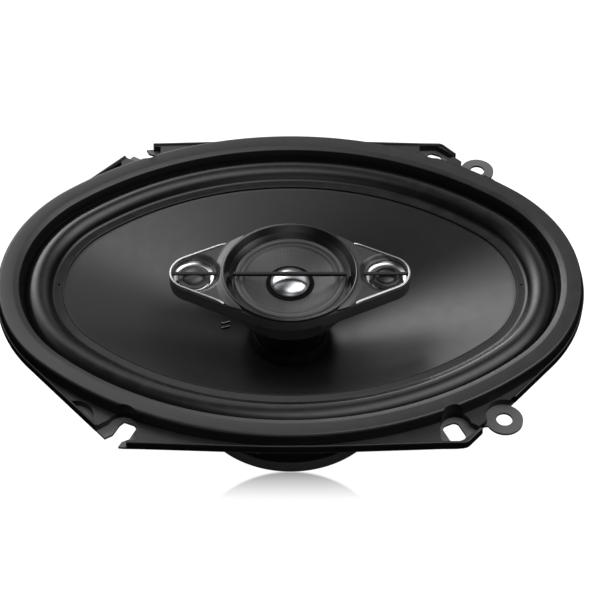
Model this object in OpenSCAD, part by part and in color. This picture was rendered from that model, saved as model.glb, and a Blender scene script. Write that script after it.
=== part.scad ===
// Oval coaxial car speaker: a woofer with a midrange and two tweeters on a bridge over its cone.
// The driver axis is Z, the front faces +Z, and the origin is the centre of the magnet's back face.
// Heights named z_... are measured from the mounting plane, which is the underside of the steel
// flange, and at_mount() lifts a shape drawn that way into the part's frame.

/* [Overall] */
// Depth of the motor behind the mounting plane
mounting_depth = 63.5; // [61:0.5:70]
// Half length of the trim ring's top edge
rim_half_length = 111; // [110.6:0.1:111.2]
// Distance from the centre to the middle of each long side of the flange plate
flange_half_width = 81.55; // [80.5:0.05:82]

/* [Flange and fixings] */
// Thickness of the basket's steel sheet
steel_t = 1.0; // [0.8:0.1:1.2]
// Height of the moulded trim plate's lip above the mounting plane
z_plate = 4.3; // [3.6:0.1:4.6]
// Radius of the screw holes in the two ears
ear_hole_r = 2.95; // [2.5:0.05:3.3]
// Outer radius of the ears
ear_r = 6.7; // [6:0.1:7]
// Centre of an ear
ear_at = [76.84, 66.3];
// Width and length of the slanted corner slots
slot_size = [6.3, 8.4];
// Centre of a corner slot
slot_at = [58.6, 72.4];

/* [Woofer] */
// Half length of the cone's edge, where the surround's roll begins
cone_half_length = 90.8; // [90:0.1:91.5]
// Depth of the cone's neck below the mounting plane
neck_depth = 28; // [22:0.5:28]
// Outer radius of the voice coil's former
former_r = 15.6; // [15.4:0.1:16]

/* [Motor] */
// Radius of the magnet and of the yoke's back plate
magnet_r = 40.4; // [38:0.2:42]
// Thickness of the magnet
magnet_t = 15.5; // [12:0.5:16]
// Thickness of the yoke's back plate
yoke_t = 6; // [5:0.5:7]
// Thickness of the top plate
top_plate_t = 5; // [4:0.5:6]
// Radius of the pole
pole_r = 14.7; // [14.3:0.1:14.8]

/* [Bridge] */
// Radius of the post
post_r = 13.7; // [13:0.1:14]
// Outer radius of the bridge's round middle
cup_r = 26; // [25.5:0.1:26.5]
// Distance from the driver axis to each tweeter's axis
tweeter_x = 36.8; // [36:0.1:37.5]
// Radius of a wing's round tip
wing_tip_r = 9.3; // [9:0.1:9.6]
// Slope of a wing's sides to the X axis
wing_slope = 27; // [25:1:28]

/* [Hidden] */
$fn = 96;

// The ovals are parallel curves of four arcs. They share these arc centres.
end_centre = 49.7;
side_centre = 58.3;
arc_gap = norm([end_centre, side_centre]);
tangent_angle = atan2(side_centre, end_centre);
oval_steps = 144;

// Heights from the mounting plane
z_steel = steel_t;
z_back = -mounting_depth;
z_magnet = z_back + yoke_t;
z_top_plate = z_magnet + magnet_t;
z_base = z_top_plate + top_plate_t;
z_base_top = z_base + 1.2;
z_ledge = z_base_top + 4.8;
z_neck = -neck_depth;
z_lip = 1.0;
z_cup = -6.8;
z_wing = 7.6;
z_wing_floor = 1.2;
z_rim = 8.5;

// Flange. The chamfers' normals differ a little between the left and right corners.
left_chamfer = 42.4;
right_chamfer = 41.6;
lip_rise = 0.6;
lip_w = 0.9;
// the trim plate reaches this far past the steel
trim_overhang = 0.5;
// centre of the moulded recess at each left corner, which mirrors an ear's
twin_at = [-76.84, 67.14];
plate_half_length = 112.3;
bowl_half_length = 102.2;
surround_outer = 106.6;
lip_inner = cone_half_length - 3.6;
roll_centre = cone_half_length + 5.6;

// Basket
base_r = 38.2;
ledge_r = 46;
leg_angles = [32, 90, 148, 212, 270, 328];
leg_w = 24;
leg_t = 1.4;
rivet_circle_r = 29;
rivet_r = 2;

// Terminal board, on the -X side below the ledge
board_x = [-61, -39.6];
board_w = 22;
board_rivet_y = 8;
board_t = 1.6;
z_board = z_ledge - 1.2 - board_t - 0.05;
fit_gap = 0.05;

// Bridge
wing_normal = 90 - wing_slope;
cavity_r = 8.6;
screw_r = 2.5;

function oval_point(a, t) =
    let (r1 = a - end_centre, r2 = r1 + arc_gap)
    abs(cos(t)) > cos(tangent_angle)
        ? [sign(cos(t)) * end_centre + r1 * cos(t), r1 * sin(t)]
        : [r2 * cos(t), r2 * sin(t) - sign(sin(t)) * side_centre];

function oval_points(a) = [for (i = [0:oval_steps - 1]) oval_point(a, i * 360 / oval_steps)];

// Distance from the centre to the oval in the direction of a polar angle, by a few fixed-point steps
function oval_reach(a, polar, t, steps) =
    let (p = oval_point(a, t))
    steps == 0 ? norm(p) : oval_reach(a, polar, t + polar - atan2(p[1], p[0]), steps - 1);

module at_mount() {
    translate([0, 0, mounting_depth]) children();
}

module mirrored_y() {
    children();
    mirror([0, 1, 0]) children();
}

// Sweeps a profile, drawn with X as the oval's half length, along the four arcs. The side arcs
// may lap over the end arcs by a hair, which lets sloping faces join into one solid.
module oval_sweep(lap = 0.02) {
    for (turn = [0, 180]) {
        rotate([0, 0, turn]) translate([end_centre, 0, 0]) rotate([0, 0, -tangent_angle])
            rotate_extrude(angle = 2 * tangent_angle, $fn = 240)
                translate([-end_centre, 0]) children();
        rotate([0, 0, turn]) translate([0, -side_centre, lap]) rotate([0, 0, tangent_angle - lap])
            rotate_extrude(angle = 180 - 2 * (tangent_angle - lap), $fn = 480)
                translate([arc_gap - end_centre + lap, 0]) children();
    }
}

module tube(r_in, r_out, z0, z1) {
    translate([0, 0, z0]) difference() {
        cylinder(r = r_out, h = z1 - z0);
        translate([0, 0, -1]) cylinder(r = r_in, h = z1 - z0 + 2);
    }
}

module disc(r, z0, z1) {
    translate([0, 0, z0]) cylinder(r = r, h = z1 - z0);
}

function unit(v) = v / norm(v);

// A route with its corners rounded over a length of up to bend
function rounded_route(p, bend) = concat(
    [p[0]],
    [for (i = [1:len(p) - 2])
        let (back = p[i - 1] - p[i], on = p[i + 1] - p[i],
             d = min(bend, 0.45 * norm(back), 0.45 * norm(on)),
             from = p[i] + d * unit(back), to = p[i] + d * unit(on))
        for (u = [0:0.25:1]) (1 - u) * (1 - u) * from + 2 * u * (1 - u) * p[i] + u * u * to],
    [p[len(p) - 1]]
);

// Directions across a path, carried along it without twist
function carried(along, across, i = 0) =
    i == len(along) ? [] :
    let (v = unit(across - (across * along[i]) * along[i]))
    concat([v], carried(along, v, i + 1));

// A round wire along a route
module wire(route, r, bend = 3) {
    path = rounded_route(route, bend);
    m = len(path);
    n = 8;
    along = [for (i = [0:m - 1]) unit(path[min(i + 1, m - 1)] - path[max(i - 1, 0)])];
    across = carried(along, unit(cross(along[0], [0.2, 0.9, 0.3])));
    last = (m - 1) * n;
    polyhedron(
        points = [for (i = [0:m - 1]) for (k = [0:n - 1])
            let (q = k * 360 / n)
            path[i] + r * (cos(q) * across[i] + sin(q) * cross(along[i], across[i]))],
        faces = concat(
            [for (i = [0:m - 2]) for (k = [0:n - 1])
                let (a = i * n + k, b = i * n + (k + 1) % n)
                for (face = [[a, b + n, b], [a, a + n, b + n]]) face],
            [for (k = [1:n - 2]) [0, k, k + 1]],
            [for (k = [1:n - 2]) [last, last + k + 1, last + k]]
        ),
        convexity = 6
    );
}

// ---- Flange outline ------------------------------------------------------------------------

// Half of a long edge, slightly bowed, and the straight chamfer that meets the oval end of radius
// end_r at a tangent
function long_edge(w, end_r, chamfer) =
    let (y = w - 3.1, x = end_centre + (end_r - y * sin(chamfer)) / cos(chamfer))
    [
        [0, w], [10, w - 0.1], [20, w - 0.45], [32, w - 0.95], [46, w - 1.5], [53, w - 1.8],
        [x - 4.2, w - 1.9], [x - 1.8, w - 2.2], [x, y],
        [end_centre + end_r * cos(chamfer), end_r * sin(chamfer)]
    ];

module plate_outline(inset = 0) {
    polygon(oval_points(plate_half_length - inset));
    w = flange_half_width - inset;
    end_r = plate_half_length - inset - end_centre;
    right = long_edge(w, end_r, right_chamfer);
    left = long_edge(w, end_r, left_chamfer);
    n = len(right);
    polygon(concat(
        right,
        [for (i = [n - 1:-1:0]) [right[i][0], -right[i][1]]],
        [for (i = [1:n - 1]) [-left[i][0], -left[i][1]]],
        [for (i = [n - 1:-1:1]) [-left[i][0], left[i][1]]]
    ));
}

module at_ears() {
    mirrored_y() translate([ear_at[0], ear_at[1], 0]) children();
}

module rounded_slot(size, r) {
    square([size[0] - 2 * r, size[1]], center = true);
    square([size[0], size[1] - 2 * r], center = true);
    for (x = [-1, 1], y = [-1, 1])
        translate([x * (size[0] / 2 - r), y * (size[1] / 2 - r)]) circle(r = r, $fn = 32);
}

// Closed slots in the right corners
module slot_cuts() {
    mirrored_y() translate([slot_at[0], slot_at[1], -1]) rotate([0, 0, -25])
        linear_extrude(steel_t + 2) rounded_slot(slot_size, 2.0);
}

// Open notches in the left corners, with a flared mouth
module notch_cuts() {
    mirrored_y() translate([0, 0, -1]) linear_extrude(steel_t + 2) polygon([
        [-55.2, 69.0], [-54.3, 70.6], [-56.6, 75.6], [-59.1, 76.7], [-60.6, 79.6],
        [-61.2, 84], [-70, 80], [-65.7, 75.2], [-62.6, 73.3], [-60.4, 68.9], [-58.9, 67.4]
    ]);
}

// Two small notches in the edge beside each ear
module ear_notches() {
    translate([0, 0, -1]) linear_extrude(steel_t + 2) difference() {
        mirrored_y() {
            polygon([[68.7, 71.9], [68.9, 69.9], [69.6, 69.4], [71.2, 69.3], [73, 75], [69, 75.5]]);
            polygon([[82.7, 57.0], [79.5, 60.0], [80.5, 62.2], [84, 63], [86, 58]]);
        }
        at_ears() circle(r = ear_r);
    }
}

// ---- Steel basket --------------------------------------------------------------------------

// Side view of a leg, from the ledge up to the bowl's wall at distance reach
function leg_line(reach) = [
    [ledge_r - 3, z_ledge - 0.6], [ledge_r + 2, z_ledge - 0.4], [reach - 22, -22.5],
    [reach - 7, -14], [reach + 3, -9]
];

function leg_band(reach, up, down) =
    let (line = leg_line(reach))
    concat(
        [for (p = line) [p[0], p[1] + up]],
        [for (i = [len(line) - 1:-1:0]) [line[i][0], line[i][1] - down]]
    );

module leg(angle) {
    reach = oval_reach(bowl_half_length, angle, angle, 6);
    rotate([0, 0, angle]) rotate([90, 0, 0]) {
        translate([0, 0, -leg_w / 2]) linear_extrude(leg_w) polygon(leg_band(reach, leg_t / 2, leg_t / 2));
        for (side = [-1, 1]) translate([0, 0, side * (leg_w / 2 - 0.6) - 0.6])
            linear_extrude(1.2) polygon(leg_band(reach, leg_t / 2, 3.4));
    }
}

module basket() {
    color([0.14, 0.14, 0.15]) at_mount() difference() {
        union() {
            linear_extrude(steel_t) difference() {
                union() {
                    plate_outline(trim_overhang);
                    at_ears() circle(r = ear_r);
                }
                polygon(oval_points(bowl_half_length + 2));
            }
            oval_sweep(lap = 0) polygon([
                [bowl_half_length - 4, -11], [bowl_half_length, -11], [bowl_half_length, 0],
                [bowl_half_length + 3, 0], [bowl_half_length + 3, steel_t],
                [bowl_half_length - 1.2, steel_t], [bowl_half_length - 1.2, -9.8],
                [bowl_half_length - 4, -9.8]
            ]);
            intersection() {
                for (angle = leg_angles) leg(angle);
                translate([0, 0, -40]) linear_extrude(40) polygon(oval_points(bowl_half_length - 0.4));
            }
            rotate_extrude() polygon([
                [19, z_base], [base_r, z_base], [base_r, z_ledge - 1.2], [ledge_r, z_ledge - 1.2],
                [ledge_r, z_ledge], [base_r - 1.2, z_ledge], [base_r - 1.2, z_base_top], [19, z_base_top]
            ]);
        }
        translate([0, 0, -1]) at_ears() cylinder(r = ear_hole_r, h = steel_t + 2);
        slot_cuts();
        notch_cuts();
        ear_notches();
        for (angle = [45:90:315]) rotate([0, 0, angle]) translate([rivet_circle_r, 0, z_base - 1])
            cylinder(r = rivet_r + fit_gap, h = 4, $fn = 32);
        for (y = [-1, 1] * board_rivet_y) translate([-42.5, y, z_ledge - 3])
            cylinder(r = 1.5 + fit_gap, h = 5, $fn = 32);
    }
}

module frame_rivets() {
    color("silver") at_mount() for (angle = [45:90:315]) rotate([0, 0, angle])
        translate([rivet_circle_r, 0, 0]) {
            disc(rivet_r, z_base - 4, z_base_top + 0.2, $fn = 32);
            translate([0, 0, z_base_top]) cylinder(r1 = 3.2, r2 = 2.2, h = 1.2, $fn = 32);
        }
}

// ---- Moulded trim ring ---------------------------------------------------------------------

// Screw pocket beside a closed slot
module right_pocket() {
    polygon([
        [53.4, 70.2], [53.4, 78.5], [60.9, 78.5], [66.9, 73], [67.6, 71.9], [64.8, 70.2],
        [62, 68], [60, 67.1], [57, 67.4], [54.6, 68.9]
    ]);
}

// Screw pocket beside an open notch, which runs out through the chamfer
module left_pocket() {
    polygon([
        [-54, 68], [-54, 78], [-57.2, 78], [-57.2, 84], [-66, 84], [-72, 75.6],
        [-68.8, 71.9], [-61.6, 67.0], [-57, 65.8]
    ]);
}

module trim_ring() {
    color([0.10, 0.10, 0.11]) at_mount() difference() {
        union() {
            translate([0, 0, z_steel]) linear_extrude(z_plate - lip_rise - z_steel) difference() {
                plate_outline();
                polygon(oval_points(rim_half_length - 2));
            }
            translate([0, 0, z_steel]) linear_extrude(z_plate - z_steel) difference() {
                plate_outline();
                plate_outline(lip_w);
            }
            oval_sweep() polygon([
                [surround_outer + 0.4, z_steel], [rim_half_length + 1, z_steel],
                [rim_half_length + 1, z_plate], [rim_half_length + 0.2, z_rim - 0.8],
                [rim_half_length - 0.8, z_rim], [rim_half_length - 5, z_rim - 0.2],
                [rim_half_length - 7.6, z_rim - 1.3], [rim_half_length - 8, z_rim - 1.8],
                [rim_half_length - 8.4, 2.1], [surround_outer + 0.4, 2.1]
            ]);
        }
        mirrored_y() {
            for (side = [-1, 1]) translate([side * 59.2, 70.9, z_steel - 1])
                cylinder(r = 5.4, h = 12, $fn = 64);
            translate([0, 0, z_steel - 1]) linear_extrude(6) {
                right_pocket();
                left_pocket();
            }
            // clearance round the ear, and its twin on the left, which keeps the plate's outer lip
            translate([75.1, 65.4, z_steel - 1]) rotate([0, 0, -45])
                translate([-10.3, -1, 0]) cube([19.5, 14, 12]);
            translate([twin_at[0], twin_at[1], z_steel - 1]) intersection() {
                cylinder(r = 7.2, h = 12, $fn = 64);
                rotate([0, 0, 45]) translate([-10, -13.9, 0]) cube([20, 10, 12]);
            }
        }
        translate([0, 0, z_steel - 1]) at_ears() cylinder(r = ear_r + 0.2, h = 12, $fn = 64);
    }
}

// ---- Motor ---------------------------------------------------------------------------------

module top_plate() {
    color([0.55, 0.56, 0.58]) at_mount() difference() {
        tube(17.1, magnet_r - 1, z_top_plate, z_base);
        for (angle = [45:90:315]) rotate([0, 0, angle]) translate([rivet_circle_r, 0, z_base - 4.2])
            cylinder(r = rivet_r + fit_gap, h = 5, $fn = 32);
    }
}

module magnet() {
    color([0.17, 0.17, 0.18]) at_mount() tube(20, magnet_r, z_magnet, z_top_plate);
}

module yoke() {
    color([0.5, 0.51, 0.53]) at_mount() difference() {
        union() {
            rotate_extrude() polygon([
                [0, z_back], [magnet_r - 0.4, z_back], [magnet_r, z_back + 0.4],
                [magnet_r, z_magnet], [0, z_magnet]
            ]);
            disc(pole_r, z_magnet - 1, z_base);
        }
        translate([0, 0, z_back - 1]) cylinder(r = screw_r + fit_gap, h = 40, $fn = 48);
        translate([0, 0, z_back - 1]) cylinder(r = 5.4, h = 5, $fn = 48);
        // way out for the bridge's feed leads, and the groove that takes them to the edge
        translate([-9.5, 0, z_back - 1]) rounded_slot_bore(40);
        translate([-magnet_r - 1, -3, z_back - 1]) cube([magnet_r - 8, 6, 4]);
    }
}

module rounded_slot_bore(h) {
    linear_extrude(h) rounded_slot([3.4, 6], 1.6);
}

// ---- Terminals and crossover ---------------------------------------------------------------

module terminal_board() {
    color([0.33, 0.2, 0.12]) at_mount() difference() {
        translate([board_x[0], -board_w / 2, z_board])
            cube([board_x[1] - board_x[0], board_w, board_t]);
        for (y = [-1, 1] * board_rivet_y) translate([-42.5, y, z_board - 1])
            cylinder(r = 1.5 + fit_gap, h = 4, $fn = 32);
        for (y = [-6.5, 6.5]) translate([-56, y, z_board - 1])
            cylinder(r = 1.2 + fit_gap, h = 4, $fn = 32);
        translate([-41, -4, z_board - 1]) cube([2, 8, 4]);
    }
}

module terminal_rivets() {
    color("silver") at_mount() for (y = [-1, 1] * board_rivet_y) translate([-42.5, y, 0]) {
        disc(1.5, z_board - 0.1, z_ledge - 0.1, $fn = 32);
        translate([0, 0, z_board - 0.9]) cylinder(r1 = 1.8, r2 = 2.6, h = 0.9, $fn = 32);
    }
}

// A flat push-on tab, bent up at its inner end into a solder lug
module tab(y, w) {
    z_top = z_board + board_t;
    difference() {
        union() {
            translate([-71, y - w / 2, z_top]) cube([20, w, 0.8]);
            translate([-51.8, y - w / 2, z_top]) cube([0.8, w, 3.2]);
        }
        translate([-56, y, z_top - 1]) cylinder(r = 1.2 + fit_gap, h = 3, $fn = 32);
        translate([-67.5, y, z_top - 1]) cylinder(r = 0.8, h = 3, $fn = 32);
    }
    translate([-56, y, 0]) {
        disc(1.2, z_board - 0.2, z_top + 1, $fn = 32);
        disc(2, z_top + 0.8, z_top + 1.4, $fn = 32);
        disc(2, z_board - 0.7, z_board, $fn = 32);
    }
}

module positive_tab() {
    color([0.75, 0.62, 0.3]) at_mount() tab(6.5, 4.8);
}

module negative_tab() {
    color([0.75, 0.62, 0.3]) at_mount() tab(-6.5, 2.8);
}

module capacitor(x, r, length) {
    translate([x, -length / 2, z_board - r - 0.7]) rotate([-90, 0, 0]) difference() {
        union() {
            cylinder(r = r - 0.4, h = length);
            translate([0, 0, 1]) cylinder(r = r, h = length - 3.4);
            translate([0, 0, length - 1.6]) cylinder(r = r, h = 1.6);
        }
        translate([0, 0, length - 0.5]) cylinder(r = r - 1, h = 1);
    }
}

module large_capacitor() {
    color([0.12, 0.14, 0.3]) at_mount() capacitor(-48.6, 4.6, 18);
}

module small_capacitor() {
    color([0.1, 0.1, 0.12]) at_mount() capacitor(-61.5, 3.4, 16);
}

module capacitor_leads() {
    z_large = z_board - 5.3;
    z_small = z_board - 4.1;
    color("silver") at_mount() {
        wire([
            [-48.6, 9.02, z_large], [-48.6, 12.2, z_large], [-57.2, 12.2, z_board - 3.4],
            [-57.2, 8.7, z_board - 1.2]
        ], 0.4, 1.5);
        wire([
            [-48.6, -9.02, z_large], [-48.6, -12.2, z_large], [-59.6, -12.2, z_small],
            [-61.5, -10.4, z_small], [-61.5, -8.02, z_small]
        ], 0.4, 1.5);
    }
}

// Insulated pair from the terminals, down the motor's side, under it and up inside the post
module feed_leads() {
    color([0.55, 0.1, 0.1]) at_mount() for (side = [-1, 1]) {
        y = side * 1.3;
        wire([
            [-9.5, y, z_cup - 1.5], [-9.5, y, z_back + 1.6], [-41.3, y, z_back + 1.6],
            [-41.3, y, z_magnet + 8], [-42.6, side * 10.8, z_board - 2.1],
            [-53, side * 10.8, z_board - 2.1], [-55.2, side * 8.2, z_board - 1.75]
        ], 1.0);
    }
}

// ---- Bridge --------------------------------------------------------------------------------

module post() {
    color([0.09, 0.09, 0.1]) at_mount() difference() {
        union() {
            disc(post_r, z_base, z_cup);
            disc(post_r + 0.6, z_cup - 2.4, z_cup);
        }
        translate([0, 0, z_base - 1]) cylinder(r = screw_r + fit_gap, h = 17, $fn = 48);
        translate([-9.5, 0, z_base - 1]) rounded_slot_bore(40);
        for (y = [-11.9, 11.9]) translate([0, y, z_cup - 7]) cylinder(r = 0.9 + fit_gap, h = 8, $fn = 24);
    }
}

module post_screw() {
    color("silver") at_mount() difference() {
        union() {
            disc(screw_r, z_back + 1, z_base + 14, $fn = 48);
            disc(4.9, z_back + 0.6, z_back + 3.9, $fn = 48);
        }
        for (turn = [0, 90]) rotate([0, 0, turn]) translate([-3, -0.5, z_back - 1]) cube([6, 1, 3.4]);
    }
}

// Outline of one wing, drawn towards +X and drawn in by inset
module wing_outline(inset) {
    r = wing_tip_r - inset;
    tip = [tweeter_x + r * cos(wing_normal), r * sin(wing_normal)];
    root_y = tip[1] + (tip[0] - 18) * tan(wing_slope);
    translate([tweeter_x, 0]) circle(r = r);
    polygon([[18, -root_y], [tip[0], -tip[1]], tip, [18, root_y]]);
}

module both_sides() {
    children();
    mirror([1, 0, 0]) children();
}

module bridge_housing() {
    color([0.11, 0.11, 0.12]) at_mount() difference() {
        union() {
            rotate_extrude() polygon([
                [0, z_cup], [22, z_cup], [25.2, 3.4], [cup_r, 3.4], [cup_r, 8.2], [0, 8.2]
            ]);
            both_sides() {
                translate([0, 0, z_wing_floor]) linear_extrude(z_wing - z_wing_floor) wing_outline(0);
                translate([tweeter_x, 0, 0.2]) cylinder(r1 = 8, r2 = 8.6, h = 3);
            }
        }
        rotate_extrude() polygon([
            [0, z_cup + 1.8], [20.6, z_cup + 1.8], [24.0, 4.2], [24.6, 4.2], [24.6, 9], [0, 9]
        ]);
        both_sides() {
            translate([tweeter_x, 0, 1.4]) cylinder(r = 7.3, h = 10);
            translate([tweeter_x, 0, 5.3]) cylinder(r = cavity_r, h = 10);
        }
        translate([-9.5, 0, z_cup - 1]) rounded_slot_bore(5);
        for (y = [-11.9, 11.9]) translate([0, y, z_cup - 1]) cylinder(r = 0.9 + fit_gap, h = 5, $fn = 24);
    }
}

module bridge_screws() {
    color("silver") at_mount() for (y = [-11.9, 11.9]) translate([0, y, 0]) {
        disc(0.9, z_cup - 6, z_cup + 2, $fn = 24);
        disc(1.8, z_cup + 1.8, z_cup + 3.2, $fn = 24);
    }
}

// Glossy ring over the midrange's edge, with the guard bar across it
module centre_bezel() {
    color([0.04, 0.04, 0.045]) at_mount() {
        rotate_extrude() polygon([
            [cup_r, 8.2], [cup_r + 0.1, 9.0], [cup_r - 0.4, 9.4], [cup_r - 1.0, 9.3],
            [21.8, 6.1], [21.3, 5.6], [22.8, 5.6], [24.3, 6.9], [24.3, 8.2]
        ]);
        intersection() {
            translate([-23, -0.95, 7.2]) cube([46, 1.9, 1.4]);
            disc(23, 6, 9);
        }
    }
}

// Bright strip round a wing's top edge
module wing_trim() {
    at_mount() intersection() {
        translate([0, 0, z_wing]) linear_extrude(1.4) difference() {
            wing_outline(0);
            wing_outline(0.7);
        }
        translate([24.6, -20, 0]) cube([30, 40, 20]);
    }
}

module left_wing_trim() {
    color([0.8, 0.8, 0.82]) mirror([1, 0, 0]) wing_trim();
}

module right_wing_trim() {
    color([0.8, 0.8, 0.82]) wing_trim();
}

// Glossy plate inside the bright strip, with the tweeter's round opening and its guard bar
module face_plate() {
    at_mount() difference() {
        translate([0, 0, z_wing]) linear_extrude(0.8) {
            difference() {
                wing_outline(0.75);
                circle(r = cup_r + 0.4);
                translate([tweeter_x, 0]) circle(r = cavity_r - 0.05);
            }
            translate([tweeter_x - 8.7, -0.8]) square([17.1, 1.6]);
        }
        translate([0, 0, z_wing - 1]) cylinder(r = 18, h = 4);
    }
}

module left_face_plate() {
    color([0.05, 0.05, 0.055]) mirror([1, 0, 0]) face_plate();
}

module right_face_plate() {
    color([0.05, 0.05, 0.055]) face_plate();
}

// Bright bowl round a tweeter's dome
module reflector() {
    at_mount() translate([tweeter_x, 0, 0]) rotate_extrude() polygon([
        [6.4, 5.35], [cavity_r - 0.1, 5.35], [cavity_r - 0.1, z_wing], [8.1, z_wing],
        [7.3, 6.6], [6.4, 5.9]
    ]);
}

module left_reflector() {
    color([0.6, 0.6, 0.62]) mirror([1, 0, 0]) reflector();
}

module right_reflector() {
    color([0.6, 0.6, 0.62]) reflector();
}

// ---- Midrange ------------------------------------------------------------------------------

module midrange_frame() {
    color([0.08, 0.08, 0.09]) at_mount() rotate_extrude() polygon([
        [10.05, -1.4], [13, -1.4], [21.6, 4.2], [24.5, 4.2], [24.5, 5.0], [20.9, 5.0], [12.6, -0.4],
        [10.05, -0.4]
    ]);
}

module midrange_yoke() {
    color([0.5, 0.51, 0.53]) at_mount() rotate_extrude() polygon([
        [0, -4.8], [10, -4.8], [10, -0.2], [8.9, -0.2], [8.9, -3.4], [0, -3.4]
    ]);
}

module midrange_magnet() {
    color([0.6, 0.6, 0.62]) at_mount() disc(7.2, -3.4, -1.7);
}

module midrange_pole_plate() {
    color([0.5, 0.51, 0.53]) at_mount() disc(7.5, -1.7, -0.2);
}

module midrange_coil() {
    color([0.7, 0.4, 0.2]) at_mount() {
        tube(7.8, 8.0, -2.7, 2.4);
        tube(8.0, 8.5, -2.4, 0.8);
    }
}

module midrange_cone() {
    color([0.35, 0.35, 0.36]) at_mount() rotate_extrude() polygon([
        [8.05, 1.8], [9.2, 1.8], [19.4, 4.9], [19.4, 5.3], [18.6, 5.3], [9.0, 2.3], [8.05, 2.3]
    ]);
}

module midrange_surround() {
    color([0.3, 0.3, 0.31]) at_mount() rotate_extrude() polygon([
        [18.7, 5.3], [19.3, 5.3], [19.9, 5.6], [20.4, 5.6], [20.9, 5.05], [23.4, 5.05], [23.4, 5.5],
        [21.2, 5.5], [20.6, 6.0], [19.7, 6.0], [19.1, 5.65], [18.7, 5.65]
    ]);
}

module midrange_dome() {
    color([0.75, 0.75, 0.77]) at_mount() dome(7.7, 2.4, 3.2, 0.3);
}

module midrange_seal() {
    color([0.03, 0.03, 0.03]) at_mount() tube(7.75, 9.3, 2.4, 2.8);
}

// Spherical cap of base radius r and height rise, hollow, with its rim at height z
module dome(r, z, rise, t) {
    big = (r * r + rise * rise) / (2 * rise);
    intersection() {
        translate([0, 0, z + rise - big]) difference() {
            sphere(r = big);
            sphere(r = big - t);
        }
        disc(r + 1, z, z + rise + 1);
    }
}

// ---- Tweeters ------------------------------------------------------------------------------

module tweeter_yoke() {
    at_mount() translate([tweeter_x, 0, 0]) rotate_extrude() polygon([
        [0, 1.45], [7.2, 1.45], [7.2, 5.2], [5.7, 5.2], [5.7, 2.6], [0, 2.6]
    ]);
}

module left_tweeter_yoke() {
    color([0.5, 0.51, 0.53]) mirror([1, 0, 0]) tweeter_yoke();
}

module right_tweeter_yoke() {
    color([0.5, 0.51, 0.53]) tweeter_yoke();
}

module left_tweeter_magnet() {
    color([0.6, 0.6, 0.62]) at_mount() translate([-tweeter_x, 0, 0]) disc(4.2, 2.6, 4.4);
}

module right_tweeter_magnet() {
    color([0.6, 0.6, 0.62]) at_mount() translate([tweeter_x, 0, 0]) disc(4.2, 2.6, 4.4);
}

module left_tweeter_pole_plate() {
    color([0.5, 0.51, 0.53]) at_mount() translate([-tweeter_x, 0, 0]) disc(4.4, 4.4, 5.2);
}

module right_tweeter_pole_plate() {
    color([0.5, 0.51, 0.53]) at_mount() translate([tweeter_x, 0, 0]) disc(4.4, 4.4, 5.2);
}

module left_tweeter_coil() {
    color([0.7, 0.4, 0.2]) at_mount() translate([-tweeter_x, 0, 0]) tube(4.7, 5.2, 3.6, 5.7);
}

module right_tweeter_coil() {
    color([0.7, 0.4, 0.2]) at_mount() translate([tweeter_x, 0, 0]) tube(4.7, 5.2, 3.6, 5.7);
}

// Plain soft dome with its flat edge
module left_tweeter_dome() {
    color([0.2, 0.2, 0.21]) at_mount() translate([-tweeter_x, 0, 0]) {
        dome(4.6, 5.7, 1.4, 0.3);
        tube(4.5, 6.2, 5.7, 5.9);
    }
}

// Ring diaphragm: a raised ring round a small dome
module right_tweeter_dome() {
    color([0.22, 0.22, 0.23]) at_mount() translate([tweeter_x, 0, 0]) {
        dome(3.4, 5.7, 1.0, 0.3);
        rotate_extrude() polygon([
            [3.2, 5.7], [6.2, 5.7], [6.2, 5.9], [5.6, 6.0], [5.2, 6.5], [4.6, 6.7], [4.1, 6.4],
            [3.7, 5.95], [3.2, 5.9]
        ]);
    }
}

// ---- Woofer's moving parts -----------------------------------------------------------------

cone_t = 0.8;
cone_steps = 8;
neck_r = former_r + fit_gap;

// Height of the cone's upper face at share s of the way from the neck to the lip
function cone_z(s) = z_neck + (z_lip - z_neck) * pow(s, 0.92);

// One ring of the cone's skin: share 0 is the round neck, share 1 the oval lip, grown by grow
function cone_ring(s, grow, z) = [
    for (p = oval_points(lip_inner + grow))
        let (polar = atan2(p[1], p[0]), q = (neck_r + grow) * [cos(polar), sin(polar)])
        [q[0] + (p[0] - q[0]) * s, q[1] + (p[1] - q[1]) * s, z]
];

module cone() {
    rings = concat(
        [cone_ring(1, cone_half_length - lip_inner + 0.4, z_lip)],
        [for (i = [cone_steps:-1:0]) cone_ring(i / cone_steps, 0, cone_z(i / cone_steps))],
        [cone_ring(0, 0, z_neck - 1.1), cone_ring(0, 0.8, z_neck - 1.1)],
        [for (i = [0:cone_steps])
            cone_ring(i / cone_steps, i == 0 ? 0.8 : 0, cone_z(i / cone_steps) - cone_t)],
        [cone_ring(1, cone_half_length - lip_inner + 0.4, z_lip - cone_t)]
    );
    n = oval_steps;
    m = len(rings);
    color([0.22, 0.22, 0.23]) at_mount() polyhedron(
        points = [for (ring = rings) for (p = ring) p],
        faces = [for (j = [0:m - 1]) for (i = [0:n - 1])
            let (i2 = (i + 1) % n, j2 = (j + 1) % m)
            for (face = [[j * n + i, j * n + i2, j2 * n + i2], [j * n + i, j2 * n + i2, j2 * n + i]]) face],
        convexity = 4
    );
}

function arc_points(centre, r, from, to, n) = [
    for (i = [0:n]) centre + r * [cos(from + (to - from) * i / n), sin(from + (to - from) * i / n)]
];

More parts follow.
